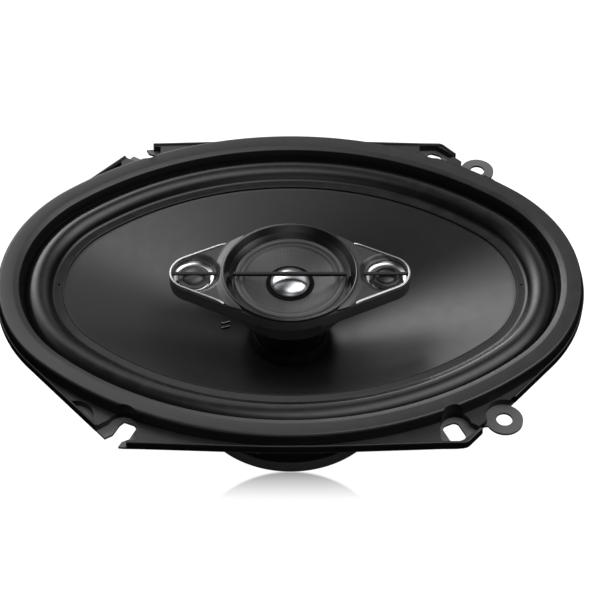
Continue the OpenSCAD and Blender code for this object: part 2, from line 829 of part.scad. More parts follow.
// Rubber roll between the cone's lip and the flange
module surround() {
    z_crest = 5.4;
    t = 0.9;
    r = 6.03;
    centre = [roll_centre, z_crest - r];
    z_in = z_lip + 0.7;
    z_out = z_steel + 0.9;
    under = asin((z_steel - centre[1]) / (r - t));
    color([0.07, 0.07, 0.07]) at_mount() oval_sweep() polygon(concat(
        [[lip_inner, z_lip]],
        arc_points(centre, r - t, 180 - under, under, 12),
        [[surround_outer, z_steel], [surround_outer, z_out]],
        arc_points(centre, r, asin((z_out - centre[1]) / r), 180 - asin((z_in - centre[1]) / r), 12),
        [[lip_inner, z_in]]
    ));
}

// Its upper end narrows towards the post and closes the gap round it
module voice_coil_former() {
    color([0.1, 0.1, 0.1]) at_mount() rotate_extrude() polygon([
        [former_r - 0.3, -46.5], [former_r, -46.5], [former_r, z_neck + 0.5], [post_r + 0.6, z_neck + 4],
        [post_r + 0.25, z_neck + 4], [former_r - 0.3, z_neck + 0.5]
    ]);
}

module voice_coil_winding() {
    color([0.7, 0.4, 0.2]) at_mount() tube(former_r, former_r + 0.7, -45.5, -33.5);
}

// Corrugated centring disc
module spider() {
    waves = 6;
    r0 = 18.6;
    r1 = 37.6;
    z_flat = z_ledge + 0.05;
    line = [for (i = [0:waves * 4]) [r0 + (r1 - r0) * i / (waves * 4), z_flat + 1.2 + 1.1 * sin(i * 90)]];
    skin = concat([[former_r, z_flat + 1.2]], line, [[39, z_flat], [42.6, z_flat]]);
    color([0.7, 0.62, 0.3]) at_mount() rotate_extrude() polygon(concat(
        skin, [for (i = [len(skin) - 1:-1:0]) skin[i] + [0, 0.5]]
    ));
}

// Flexible leads from the terminals to the cone's underside
module tinsel_leads() {
    color([0.72, 0.45, 0.2]) at_mount() for (side = [-1, 1]) wire([
        [-25.5, 1.6 + side * 1.35, -24.95], [-31, 1 + side * 2.9, -24.4], [-37, 0.3 + side * 4.4, -24.2],
        [-43.5, side * 5.6, -26], [-48.4, side * 6.2, -29], [-50.3, side * 6.4, z_board + board_t + 1.6]
    ], 0.6);
}

module lead_eyelets() {
    color("silver") at_mount() for (side = [-1, 1]) translate([-25.5, 1.6 + side * 1.35, -22.98])
        rotate([0, 23, 0]) cylinder(r1 = 1.2, r2 = 0.7, h = 0.6, $fn = 32);
}

basket();
trim_ring();
top_plate();
magnet();
yoke();
frame_rivets();
terminal_board();
positive_tab();
negative_tab();
terminal_rivets();
large_capacitor();
small_capacitor();
capacitor_leads();
feed_leads();
post();
post_screw();
bridge_housing();
bridge_screws();
centre_bezel();
left_wing_trim();
right_wing_trim();
left_face_plate();
right_face_plate();
left_reflector();
right_reflector();
midrange_frame();
midrange_yoke();
midrange_magnet();
midrange_pole_plate();
left_tweeter_yoke();
right_tweeter_yoke();
left_tweeter_magnet();
right_tweeter_magnet();
left_tweeter_pole_plate();
right_tweeter_pole_plate();
cone();
surround();
voice_coil_former();
voice_coil_winding();
spider();
tinsel_leads();
lead_eyelets();
midrange_cone();
midrange_surround();
midrange_dome();
midrange_coil();
midrange_seal();
left_tweeter_dome();
right_tweeter_dome();
left_tweeter_coil();
right_tweeter_coil();
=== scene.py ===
"""Looks for the oval coaxial car speaker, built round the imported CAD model.

Profiles and outlines are in millimetres, with heights measured from the mounting plane as in the
CAD. Everything becomes metres in the frame's own axes when a mesh is made.
"""
import math

import bmesh
import bpy
import numpy as np
from mathutils import Matrix, Vector


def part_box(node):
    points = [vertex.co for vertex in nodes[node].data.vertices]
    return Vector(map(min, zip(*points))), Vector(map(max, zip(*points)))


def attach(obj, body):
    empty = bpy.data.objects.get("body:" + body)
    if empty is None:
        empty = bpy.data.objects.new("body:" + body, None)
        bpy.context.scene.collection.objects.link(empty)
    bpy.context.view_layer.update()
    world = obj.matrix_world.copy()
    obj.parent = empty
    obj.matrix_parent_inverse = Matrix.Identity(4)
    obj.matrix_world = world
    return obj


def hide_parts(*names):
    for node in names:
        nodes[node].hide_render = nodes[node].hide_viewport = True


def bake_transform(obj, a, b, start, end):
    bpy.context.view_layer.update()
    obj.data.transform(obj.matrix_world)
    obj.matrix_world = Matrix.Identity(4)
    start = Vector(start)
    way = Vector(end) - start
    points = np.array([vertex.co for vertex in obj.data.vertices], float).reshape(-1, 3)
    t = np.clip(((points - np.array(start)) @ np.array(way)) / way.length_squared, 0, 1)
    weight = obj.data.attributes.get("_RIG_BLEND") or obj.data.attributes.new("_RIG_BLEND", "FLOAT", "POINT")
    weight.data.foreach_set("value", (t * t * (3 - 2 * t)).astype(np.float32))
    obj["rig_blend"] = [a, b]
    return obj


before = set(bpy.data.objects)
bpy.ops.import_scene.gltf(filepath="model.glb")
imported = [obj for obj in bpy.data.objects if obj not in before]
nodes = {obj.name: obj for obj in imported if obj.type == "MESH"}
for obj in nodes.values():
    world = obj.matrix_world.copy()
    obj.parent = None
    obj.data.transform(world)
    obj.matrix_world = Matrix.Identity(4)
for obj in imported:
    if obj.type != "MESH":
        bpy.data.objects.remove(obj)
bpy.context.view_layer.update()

MM = 0.001
MOUNT = round(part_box("basket")[1][2] / MM - 1.0, 3)  # mounting plane: the steel is 1 mm thick

# ---- Ovals: four arcs with shared centres, as in the CAD ------------------------------------

END_C, SIDE_C = 49.7, 58.3
GAP = math.hypot(END_C, SIDE_C)
SPLIT = math.atan2(SIDE_C, END_C)


def oval_point(a, t):
    """Point on the oval of half length a, where its outward normal has angle t."""
    c, s = math.cos(t), math.sin(t)
    if abs(c) > math.cos(SPLIT):
        return math.copysign(END_C, c) + (a - END_C) * c, (a - END_C) * s
    r = a - END_C + GAP
    return r * c, r * s - math.copysign(SIDE_C, s)


def oval_angles(n):
    """Angles whose points lie about evenly round an oval."""
    dense = [i * 2 * math.pi / 1440 for i in range(1441)]
    pts = [oval_point(95, t) for t in dense]
    run = [0.0]
    for p, q in zip(pts, pts[1:]):
        run.append(run[-1] + math.dist(p, q))
    return list(np.interp(np.linspace(0, run[-1], n, endpoint=False), run, dense))


def oval_towards(a, polar):
    """Point of an oval in the direction of a polar angle."""
    t = polar
    for _ in range(12):
        x, y = oval_point(a, t)
        t += math.remainder(polar - math.atan2(y, x), 2 * math.pi)
    return oval_point(a, t)


# ---- Mesh helpers ---------------------------------------------------------------------------

def shade(obj, sharp):
    """Smooth faces, with edges sharper than the angle kept sharp."""
    bm = bmesh.new()
    bm.from_mesh(obj.data)
    for f in bm.faces:
        f.smooth = True
    for e in bm.edges:
        e.smooth = len(e.link_faces) == 2 and e.calc_face_angle(0.0) < math.radians(sharp)
    bm.to_mesh(obj.data)
    bm.free()


def make(name, verts, faces, mat=None, sharp=35.0, z0=None):
    """A mesh object from points in mm above the mounting plane."""
    z0 = MOUNT if z0 is None else z0
    mesh = bpy.data.meshes.new(name)
    mesh.from_pydata([(x * MM, y * MM, (z + z0) * MM) for x, y, z in verts], [], faces)
    bm = bmesh.new()
    bm.from_mesh(mesh)
    bmesh.ops.remove_doubles(bm, verts=bm.verts, dist=1e-7)
    bmesh.ops.recalc_face_normals(bm, faces=bm.faces)
    bm.to_mesh(mesh)
    bm.free()
    obj = bpy.data.objects.new(name, mesh)
    bpy.context.scene.collection.objects.link(obj)
    if mat:
        mesh.materials.append(mat)
    shade(obj, sharp)
    return obj


def loft(name, loops, mat, closed=False, sharp=35.0):
    """Joins loops of equal length in turn. A loft that isn't closed gets a face over each end."""
    n, m = len(loops[0]), len(loops)
    faces = []
    for k in range(m if closed else m - 1):
        a, b = k * n, (k + 1) % m * n
        faces += [(a + i, a + (i + 1) % n, b + (i + 1) % n, b + i) for i in range(n)]
    if not closed:
        faces += [tuple(range(n)), tuple(range((m - 1) * n, m * n))]
    return make(name, [v for loop in loops for v in loop], faces, mat, sharp)


def flat(points, z):
    return [(x, y, z) for x, y in points]


def circle(r, at=(0, 0), n=128):
    return [(at[0] + r * math.cos(2 * math.pi * i / n), at[1] + r * math.sin(2 * math.pi * i / n))
            for i in range(n)]


def lathe(name, profile, mat, at=(0, 0), n=128, closed=True, sharp=35.0):
    """Turns a profile of (radius, height) pairs about a vertical axis."""
    return loft(name, [flat(circle(max(r, 0.01), at, n), z) for r, z in profile], mat, closed, sharp)


def sweep_oval(name, profile, mat, n, sharp=35.0):
    """Sweeps a closed profile of (half length, height) pairs round the ovals."""
    angles = oval_angles(n)
    loops = [flat([oval_point(a, t) for t in angles], z) for a, z in profile]
    return loft(name, loops, mat, closed=True, sharp=sharp)


def fillet(points, radii, steps=4, closed=True):
    """Rounds the corners of an outline or a profile. A radius of 0 keeps a corner."""
    out = []
    n = len(points)
    for i, p in enumerate(points):
        r = radii[i] if isinstance(radii, (list, tuple)) else radii
        if r <= 0 or (not closed and i in (0, n - 1)):
            out.append(tuple(p))
            continue
        p = Vector(p)
        a, b = Vector(points[i - 1]) - p, Vector(points[(i + 1) % n]) - p
        ua, ub = a.normalized(), b.normalized()
        half = math.acos(max(-1.0, min(1.0, ua.dot(ub)))) / 2
        if half > math.radians(88):
            out.append(tuple(p))
            continue
        cut = min(r / math.tan(half), 0.48 * a.length, 0.48 * b.length)
        r = cut * math.tan(half)
        centre = p + (ua + ub).normalized() * (r / math.sin(half))
        start, end = p + ua * cut - centre, p + ub * cut - centre
        sweep = start.angle_signed(end)
        for k in range(steps + 1):
            v = start.copy()
            v.rotate(Matrix.Rotation(-sweep * k / steps, 2))
            out.append(tuple(centre + v))
    return out


def arc(centre, r, start, end, n):
    """Points on an arc, with angles in degrees."""
    return [(centre[0] + r * math.cos(math.radians(start + (end - start) * i / n)),
             centre[1] + r * math.sin(math.radians(start + (end - start) * i / n))) for i in range(n + 1)]


def mirror_y(points):
    return [(x, -y) for x, y in points][::-1]


def prism(outline, z0, z1):
    """A plain extrusion, used for cutting."""
    return loft("cutter", [flat(outline, z0), flat(outline, z1)], None)


def cut(obj, cutters):
    """Takes the cutters away from obj and applies the result to its mesh."""
    for cutter in cutters:
        mod = obj.modifiers.new("cut", "BOOLEAN")
        mod.operation = "DIFFERENCE"
        mod.solver = "EXACT"
        mod.object = cutter
    bake(obj)
    for cutter in cutters:
        bpy.data.objects.remove(cutter)


def bake(obj):
    """Applies an object's modifiers to its mesh."""
    graph = bpy.context.evaluated_depsgraph_get()
    mesh = bpy.data.meshes.new_from_object(obj.evaluated_get(graph))
    obj.modifiers.clear()
    obj.data = mesh


def soften(obj, width):
    """Rounds an object's sharp edges with modifiers, which a CAD node may carry too."""
    if obj in nodes.values():
        weld = obj.modifiers.new("weld", "WELD")
        weld.merge_threshold = 2e-6
        flats = obj.modifiers.new("flats", "DECIMATE")
        flats.decimate_type = "DISSOLVE"
        flats.angle_limit = math.radians(0.6)
    mod = obj.modifiers.new("edges", "BEVEL")
    mod.width = width * MM
    mod.segments = 2
    mod.limit_method = "ANGLE"
    mod.angle_limit = math.radians(40)
    mod.harden_normals = True


def tube(name, path, r, mat, sides):
    """A round wire along a smooth path through the points, with rounded ends."""
    pts = [Vector(p) for p in path]
    samples = 8
    dense = []
    for i in range(len(pts) - 1):
        a, b, c, d = pts[max(i - 1, 0)], pts[i], pts[i + 1], pts[min(i + 2, len(pts) - 1)]
        for k in range(samples):
            u = k / samples
            dense.append(0.5 * (2 * b + (c - a) * u + (2 * a - 5 * b + 4 * c - d) * u * u
                                + (3 * b - a - 3 * c + d) * u ** 3))
    dense.append(pts[-1])
    last = len(dense) - 1
    along = [(dense[min(i + 1, last)] - dense[max(i - 1, 0)]).normalized() for i in range(last + 1)]
    across = along[0].orthogonal().normalized()
    loops = []
    for i, (p, t) in enumerate(zip(dense, along)):
        across = (across - t * across.dot(t)).normalized()
        other = t.cross(across)
        scales = [(0.0, 1.0)]
        if i == 0:
            scales = [(-0.5, 0.3), (-0.35, 0.8), (0.0, 1.0)]
        if i == last:
            scales = [(0.0, 1.0), (0.35, 0.8), (0.5, 0.3)]
        for push, scale in scales:
            loops.append([tuple(p + t * push * r + (across * math.cos(q) + other * math.sin(q)) * r * scale)
                          for q in (2 * math.pi * k / sides for k in range(sides))])
    return loft(name, loops, mat)


def place(obj, body, replaced=()):
    """Rides obj on a body, in place of CAD nodes, which it hides."""
    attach(obj, body)
    if replaced:
        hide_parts(*([replaced] if isinstance(replaced, str) else replaced))
    return obj


# ---- Materials ------------------------------------------------------------------------------

def new_material(name):
    mat = bpy.data.materials.new(name)
    mat.use_nodes = True
    tree = mat.node_tree
    return mat, tree, tree.nodes["Principled BSDF"]


def coords(tree):
    return tree.nodes.new("ShaderNodeTexCoord").outputs["Object"]


def noise(tree, vector, scale, detail):
    n = tree.nodes.new("ShaderNodeTexNoise")
    n.inputs["Scale"].default_value = scale
    n.inputs["Detail"].default_value = detail
    tree.links.new(vector, n.inputs["Vector"])
    return n.outputs["Fac"]


def wave(tree, vector, direction, pitch):
    """Smooth bands across a direction, a pitch apart in metres."""
    w = tree.nodes.new("ShaderNodeTexWave")
    w.wave_type = "BANDS"
    w.wave_profile = "SIN"
    w.bands_direction = direction
    # a wave texture's bands repeat every 2 * pi / (20 * scale)
    w.inputs["Scale"].default_value = 2 * math.pi / (20 * pitch)
    tree.links.new(vector, w.inputs["Vector"])
    return w.outputs["Fac"]


def math_node(tree, operation, a, b):
    m = tree.nodes.new("ShaderNodeMath")
    m.operation = operation
    for socket, value in zip(m.inputs, (a, b)):
        if isinstance(value, (int, float)):
            socket.default_value = value
        else:
            tree.links.new(value, socket)
    return m.outputs["Value"]


def remap(tree, value, lo, hi, low_in=0.3, high_in=0.7):
    r = tree.nodes.new("ShaderNodeMapRange")
    r.inputs["From Min"].default_value = low_in
    r.inputs["From Max"].default_value = high_in
    r.inputs["To Min"].default_value = lo
    r.inputs["To Max"].default_value = hi
    tree.links.new(value, r.inputs["Value"])
    return r.outputs["Result"]


def ramp(tree, value, stops):
    r = tree.nodes.new("ShaderNodeValToRGB")
    while len(r.color_ramp.elements) < len(stops):
        r.color_ramp.elements.new(0.5)
    for element, (pos, col) in zip(r.color_ramp.elements, stops):
        element.position = pos
        element.color = (*col, 1)
    tree.links.new(value, r.inputs["Fac"])
    return r.outputs["Color"]


def bump(tree, shader, height, strength, distance):
    b = tree.nodes.new("ShaderNodeBump")
    b.inputs["Strength"].default_value = strength
    b.inputs["Distance"].default_value = distance
    tree.links.new(height, b.inputs["Height"])
    tree.links.new(b.outputs["Normal"], shader.inputs["Normal"])


def roughness(tree, shader, vector, scale, detail, low, high):
    """Uneven gloss between two roughness values."""
    tree.links.new(remap(tree, noise(tree, vector, scale, detail), low, high), shader.inputs["Roughness"])


def surface(name, colour, rough, metallic=0.0, grain=4000.0, grain_depth=0.00004, grain_strength=0.25,
            mottle=0.12, rough_spread=0.04, coat=0.0, specular=0.5, coat_rough=0.1):
    """Solid finish with a fine grain, slightly uneven colour and uneven gloss."""
    mat, tree, shader = new_material(name)
    vec = coords(tree)
    broad = noise(tree, vec, 60, 3)
    lo = tuple(c * (1 - mottle) for c in colour)
    hi = tuple(min(1, c * (1 + mottle)) for c in colour)
    tree.links.new(ramp(tree, broad, [(0.3, lo), (0.7, hi)]), shader.inputs["Base Color"])
    roughness(tree, shader, vec, 220, 4, rough - rough_spread, rough + rough_spread)
    shader.inputs["Metallic"].default_value = metallic
    shader.inputs["Specular IOR Level"].default_value = specular
    shader.inputs["Coat Weight"].default_value = coat
    shader.inputs["Coat Roughness"].default_value = coat_rough
    bump(tree, shader, noise(tree, vec, grain, 2), grain_strength, grain_depth)
    return mat


def woven(name, dark, light, pitch, rough, depth, metallic=0.0):
    """Plain weave: two crossed sets of threads of the given pitch in metres."""
    mat, tree, shader = new_material(name)
    vec = coords(tree)
    height = math_node(tree, "MULTIPLY", wave(tree, vec, "X", pitch), wave(tree, vec, "Y", pitch))
    tree.links.new(ramp(tree, height, [(0.0, dark), (0.75, light)]), shader.inputs["Base Color"])
    roughness(tree, shader, vec, 300, 3, rough - 0.05, rough + 0.05)
    shader.inputs["Metallic"].default_value = metallic
    bump(tree, shader, height, 0.5, depth)
    return mat


def turned(name, colour, rough, pitch):
    """Wire wound in fine rings about the vertical, stacked along Z."""
    mat, tree, shader = new_material(name)
    vec = coords(tree)
    rings = wave(tree, vec, "Z", pitch)
    dark = tuple(c * 0.7 for c in colour)
    tree.links.new(ramp(tree, rings, [(0.1, dark), (0.6, colour)]), shader.inputs["Base Color"])
    roughness(tree, shader, vec, 400, 3, rough - 0.05, rough + 0.08)
    shader.inputs["Metallic"].default_value = 1.0
    bump(tree, shader, rings, 0.25, pitch * 0.3)
    return mat


steel_black = surface("steel_black", (0.10, 0.10, 0.103), 0.48, grain=2600, grain_depth=0.00004)
trim_plastic = surface("trim_plastic", (0.008, 0.008, 0.0082), 0.36, grain=5200, grain_depth=0.00002)
housing_plastic = surface("housing_plastic", (0.06, 0.06, 0.062), 0.45, grain=5200, grain_depth=0.00002)
bar_plastic = surface("bar_plastic", (0.012, 0.012, 0.012), 0.6, grain=5200, grain_depth=0.00002,
                      specular=0.3)
gloss_black = surface("gloss_black", (0.005, 0.005, 0.0055), 0.12, grain=900, grain_strength=0.02,
                      rough_spread=0.02, coat=0.5, coat_rough=0.05)
face_black = surface("face_black", (0.03, 0.03, 0.031), 0.30, grain=3000, grain_depth=0.00001)
rubber = surface("rubber", (0.004, 0.004, 0.004), 0.24, grain=3000, grain_depth=0.000006, specular=0.4)
lip_rubber = surface("lip_rubber", (0.012, 0.012, 0.012), 0.42, grain=3000, grain_depth=0.00001,
                     specular=0.3)
ferrite = surface("ferrite", (0.008, 0.008, 0.0085), 0.55, grain=1800, grain_depth=0.00006,
                  grain_strength=0.4)
zinc = surface("zinc", (0.42, 0.43, 0.45), 0.34, metallic=1.0, grain=1500, grain_strength=0.15,
               mottle=0.08)
chrome = surface("chrome", (0.62, 0.62, 0.64), 0.16, metallic=1.0, grain=2000, grain_strength=0.03,
                 mottle=0.04)
satin_chrome = surface("satin_chrome", (0.5, 0.5, 0.51), 0.30, metallic=1.0, grain=3000,
                       grain_strength=0.05, mottle=0.04)
silver = surface("silver", (0.62, 0.63, 0.65), 0.22, metallic=1.0, grain=1500, grain_strength=0.03,
                 mottle=0.03)
dark_dome = surface("dark_dome", (0.05, 0.05, 0.052), 0.36, metallic=0.3, grain=3000, grain_strength=0.08)
ring_dome = surface("ring_dome", (0.03, 0.03, 0.031), 0.3, metallic=0.3, grain=3000, grain_strength=0.05)
copper = turned("copper", (0.55, 0.22, 0.09), 0.35, 0.0003)
lead_copper = woven("lead_copper", (0.2, 0.09, 0.04), (0.6, 0.3, 0.14), 0.0003, 0.4, 0.00008, metallic=0.8)
brass = surface("brass", (0.62, 0.45, 0.18), 0.32, metallic=1.0, grain=2500, grain_strength=0.1)
board_brown = surface("board_brown", (0.11, 0.05, 0.022), 0.5, grain=1500, grain_depth=0.0001)
sleeve_blue = surface("sleeve_blue", (0.01, 0.02, 0.14), 0.3, grain=1500, grain_strength=0.08)
sleeve_black = surface("sleeve_black", (0.012, 0.012, 0.014), 0.3, grain=1500, grain_strength=0.08)
wire_red = surface("wire_red", (0.25, 0.012, 0.012), 0.4, grain=1500, grain_strength=0.1)
cloth = woven("cloth", (0.25, 0.17, 0.05), (0.5, 0.37, 0.12), 0.0006, 0.75, 0.00012)
former = surface("former", (0.006, 0.006, 0.006), 0.6, grain=2200, grain_strength=0.2, specular=0.15)
foam = surface("foam", (0.004, 0.004, 0.004), 0.9, grain=1600, grain_depth=0.0001, grain_strength=0.5,
               specular=0.1)
cone_skin = surface("cone_skin", (0.006, 0.006, 0.0062), 0.38, grain=2400, grain_depth=0.00001, mottle=0.05,
                    rough_spread=0.02)
mid_cone = woven("mid_cone", (0.02, 0.02, 0.021), (0.075, 0.075, 0.078), 0.00055, 0.45, 0.00006)
mid_roll = surface("mid_roll", (0.045, 0.045, 0.047), 0.42, grain=1800, grain_depth=0.00001)

# Finish of each CAD node. Nodes that a piece below replaces don't show, but carry one too.
FINISHES = [
    (steel_black, "basket", "yoke"),
    (trim_plastic, "trim_ring", "post"),
    (housing_plastic, "bridge_housing", "midrange_frame"),
    (gloss_black, "centre_bezel"),
    (face_black, "left_face_plate", "right_face_plate"),
    (satin_chrome, "left_wing_trim", "right_wing_trim"),
    (chrome, "left_reflector", "right_reflector"),
    (silver, "midrange_dome"),
    (dark_dome, "left_tweeter_dome"),
    (ring_dome, "right_tweeter_dome"),
    (cone_skin, "cone"),
    (rubber, "surround"),
    (mid_cone, "midrange_cone"),
    (mid_roll, "midrange_surround"),
    (foam, "midrange_seal"),
    (former, "voice_coil_former"),
    (cloth, "spider"),
    (ferrite, "magnet"),
    (copper, "voice_coil_winding", "midrange_coil", "left_tweeter_coil", "right_tweeter_coil"),
    (lead_copper, "tinsel_leads"),
    (wire_red, "feed_leads"),
    (board_brown, "terminal_board"),
    (brass, "positive_tab", "negative_tab"),
    (sleeve_blue, "large_capacitor"),
    (sleeve_black, "small_capacitor"),
    (zinc, "top_plate", "frame_rivets", "terminal_rivets", "capacitor_leads", "post_screw", "bridge_screws",
     "lead_eyelets", "midrange_yoke", "midrange_magnet", "midrange_pole_plate", "left_tweeter_yoke",
     "right_tweeter_yoke", "left_tweeter_magnet", "right_tweeter_magnet", "left_tweeter_pole_plate",
     "right_tweeter_pole_plate"),
]
NODE_MATERIALS = {name: mat for mat, *names in FINISHES for name in names}
for name, node in nodes.items():
    for material_slot in node.material_slots:
        material_slot.material = NODE_MATERIALS[name]

# ---- Basket and trim ring -------------------------------------------------------------------

PLATE_A, HALF_W = 112.3, 81.55
LEFT_CHAMFER, RIGHT_CHAMFER = math.radians(42.4), math.radians(41.6)
Z_STEEL, Z_PLATE, Z_LIP_TOP, Z_RIM = 1.0, 3.7, 4.3, 8.5
EAR = (76.84, 66.3)
TWIN = (-76.84, 67.14)

for name in ("basket", "yoke"):
    soften(nodes[name], 0.25)
for name in ("terminal_board", "positive_tab", "negative_tab", "frame_rivets", "terminal_rivets",
             "post_screw", "bridge_screws", "midrange_yoke", "left_tweeter_yoke", "right_tweeter_yoke"):
    soften(nodes[name], 0.1)


def plate_quarter(inset, chamfer):
    """A quarter of the trim plate's outline: half a bowed long edge, a chamfer and an oval end."""
    w, end_r = HALF_W - inset, PLATE_A - inset - END_C
    corner_y = w - 1.95
    corner_x = END_C + (end_r - corner_y * math.sin(chamfer)) / math.cos(chamfer)
    edge = [(0, w), (10, w - 0.1), (20, w - 0.45), (32, w - 0.95), (46, w - 1.5), (55, w - 1.85),
            (corner_x, corner_y), (END_C + end_r * math.cos(chamfer), end_r * math.sin(chamfer))]
    edge = fillet(edge, [0] * 6 + [3.2, 0], 5, closed=False)
    start, end = Vector(edge[-2]), Vector(edge[-1])
    line = [tuple(start.lerp(end, k / 8)) for k in range(1, 8)]
    return edge[:-1] + line + arc((END_C, 0), end_r, math.degrees(chamfer), 0, 26)


def plate_loop(inset):
    """Outline of the trim plate, drawn in by inset."""
    right, left = plate_quarter(inset, RIGHT_CHAMFER), plate_quarter(inset, LEFT_CHAMFER)
    right += mirror_y(right)[1:]
    left += mirror_y(left)[1:]
    return right[:-1] + [(-x, y) for x, y in left[::-1]][:-1]


def build_trim_plate():
    inner = [oval_towards(109.0, math.atan2(y, x)) for x, y in plate_loop(0)]
    steps = [(0, Z_STEEL), (0, 4.05), (0.08, 4.2), (0.25, Z_LIP_TOP), (0.65, Z_LIP_TOP), (0.8, 4.22),
             (0.92, 3.8), (1.04, Z_PLATE)]
    loops = [flat(plate_loop(inset), z) for inset, z in steps]
    return loft("trim_plate", loops + [flat(inner, Z_PLATE), flat(inner, Z_STEEL)], trim_plastic, closed=True)


def pocket_outlines():
    """Screw pockets: beside a closed slot on the right, and beside an open notch on the left."""
    right = fillet([(53.4, 70.2), (53.4, 78.5), (60.9, 78.5), (66.9, 73.0), (67.6, 71.9), (64.8, 70.2),
                    (62, 68.0), (60, 67.1), (57, 67.4), (54.6, 68.9)],
                   [1.0, 1.2, 1.2, 0.3, 0.3, 1.5, 1.5, 1.5, 1.5, 1.5])
    left = fillet([(-54, 68), (-54, 78), (-57.2, 78), (-57.2, 84), (-66, 84), (-72, 75.6),
                   (-68.8, 71.9), (-61.6, 67.0), (-57, 65.8)], [1.2, 0.8, 0, 0, 0, 0.5, 1.0, 2.0, 1.5])
    return right, left


def corner_cutters():
    """Everything that is cut from the moulding at its corners."""
    cutters = []
    right, left = pocket_outlines()
    turn = math.radians(-45)
    box = [(-10.3, -1), (9.2, -1), (9.2, 13), (-10.3, 13)]
    c, s = math.cos(turn), math.sin(turn)
    ear_box = [(75.1 + x * c - y * s, 65.4 + x * s + y * c) for x, y in box]
    # the recess that mirrors an ear keeps the plate's outer lip: a chord cuts its circle short
    chord = 138.5
    twin = [(x, y) if y - x < chord else ((x + y - chord) / 2, (x + y + chord) / 2)
            for x, y in circle(7.2, TWIN, 96)]
    low, high = Z_STEEL - 0.4, 13
    for outline in (right, left, ear_box, twin, circle(6.9, EAR, 96), circle(5.4, (59.2, 70.9), 96),
                    circle(5.4, (-59.2, 70.9), 96)):
        top = Z_LIP_TOP + 3 if outline in (right, left) else high
        cutters += [prism(outline, low, top), prism(mirror_y(outline), low, top)]
    return cutters


def build_trim():
    rim = sweep_oval("trim_rim", fillet([
        (107.0, 1.02), (111.95, 1.02), (111.95, 4.2), (111.05, Z_RIM), (105.4, 8.05), (103.2, 7.3),
        (102.7, 2.1), (107.0, 2.1)
    ], [0, 0, 0, 1.1, 1.6, 0.5, 0, 0], 5), trim_plastic, n=360)
    plate = build_trim_plate()
    for obj in (rim, plate):
        cut(obj, corner_cutters())
        soften(obj, 0.22)
        place(obj, "frame", "trim_ring")


# ---- Woofer's moving parts ------------------------------------------------------------------

ROLL = (96.5, -0.73)
ROLL_R = 6.03
LIP = 87.2
NECK_R, Z_NECK, Z_LIP = 15.65, -28.0, 1.0
# the terminal board's underside, and its thickness
Z_BOARD, BOARD_T = -33.85, 1.6


def set_blend(obj, weight):
    """Sets how far each point follows the cone: 0 at the basket, 1 at the cone."""
    values = obj.data.attributes["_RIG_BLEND"].data
    for vertex, value in zip(obj.data.vertices, values):
        w = min(1.0, max(0.0, weight(vertex.co / MM)))
        value.value = w * w * (3 - 2 * w)


def oval_size(x, y):
    """Half length of the oval through a point."""
    x, y = abs(x), abs(y)
    if math.atan2(y, x - END_C) < SPLIT and x > END_C:
        return END_C + math.hypot(x - END_C, y)
    return math.hypot(x, y + SIDE_C) - GAP + END_C


def build_surround():
    t = 0.9
    under = math.degrees(math.asin((Z_STEEL - ROLL[1]) / (ROLL_R - t)))
    outer = math.degrees(math.asin((1.9 - ROLL[1]) / ROLL_R))
    inner = 180 - math.degrees(math.asin((1.75 - ROLL[1]) / ROLL_R))
    over = [(106.4, Z_STEEL + 0.02), (106.4, 1.9), (103.4, 1.9)]
    over += arc(ROLL, ROLL_R, outer + 3, inner - 3, 26)
    over += [(90.0, 1.72), (LIP + 0.1, 1.68), (LIP, 1.4), (LIP, Z_LIP + 0.02)]
    below = arc(ROLL, ROLL_R - t, 180 - under, under, 14)
    profile = fillet(over, [0, 0.3, 0] + [0.0] * 27 + [0, 0.25, 0, 0], 3) + below
    roll = sweep_oval("surround_roll", profile, rubber, n=360, sharp=50)
    place_soft(roll, "surround")
    set_blend(roll, lambda p: (102.4 - oval_size(p.x, p.y)) / (102.4 - 91.0))
    glue = sweep_oval("surround_lip", fillet([(LIP - 0.35, 1.72), (LIP - 0.35, 1.02), (LIP - 0.02, 1.02),
                                              (LIP - 0.02, 1.72)], [0.12, 0, 0, 0.12], 3), lip_rubber, n=360)
    place(glue, "cone_assembly")
    for side in (-1, 1):
        dot = [(0, 1.7), (0.42, 1.7), (0.45, 1.76), (0.32, 1.84), (0, 1.87)]
        mark = lathe("surround_mark_" + ("right" if side > 0 else "left"), dot, foam, (side * 88.9, 0), 24,
                     closed=False)
        place(mark, "cone_assembly")


def place_soft(obj, node):
    """A piece that bends between the frame and the cone. The weights are set just after this."""
    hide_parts(node)
    low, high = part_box(node)
    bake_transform(obj, "frame", "cone_assembly", start=tuple(low), end=tuple(high))


def build_cone():
    n, steps, t = 360, 44, 0.8
    lip = [oval_point(LIP, q) for q in oval_angles(n)]

    def ring(s, grow, z):
        out = []
        for x, y in lip:
            reach = math.hypot(x, y)
            qx, qy = x / reach * (NECK_R + grow), y / reach * (NECK_R + grow)
            out.append((qx + (x - qx) * s, qy + (y - qy) * s, z))
        return out

    def height(s):
        return Z_NECK + (Z_LIP - Z_NECK) * s ** 0.92

    shares = [(k / steps) ** 1.15 for k in range(steps + 1)]
    edge = flat([oval_point(91.2, q) for q in oval_angles(n)], Z_LIP)
    loops = [edge] + [ring(s, 0, height(s)) for s in reversed(shares)]
    loops += [ring(0, 0, Z_NECK - 1.1), ring(0, t, Z_NECK - 1.1)]
    loops += [ring(s, t if k == 0 else 0, height(s) - t) for k, s in enumerate(shares)]
    loops += [flat([oval_point(91.2, q) for q in oval_angles(n)], Z_LIP - t)]
    place(loft("woofer_cone", loops, cone_skin, closed=True), "cone_assembly", "cone")


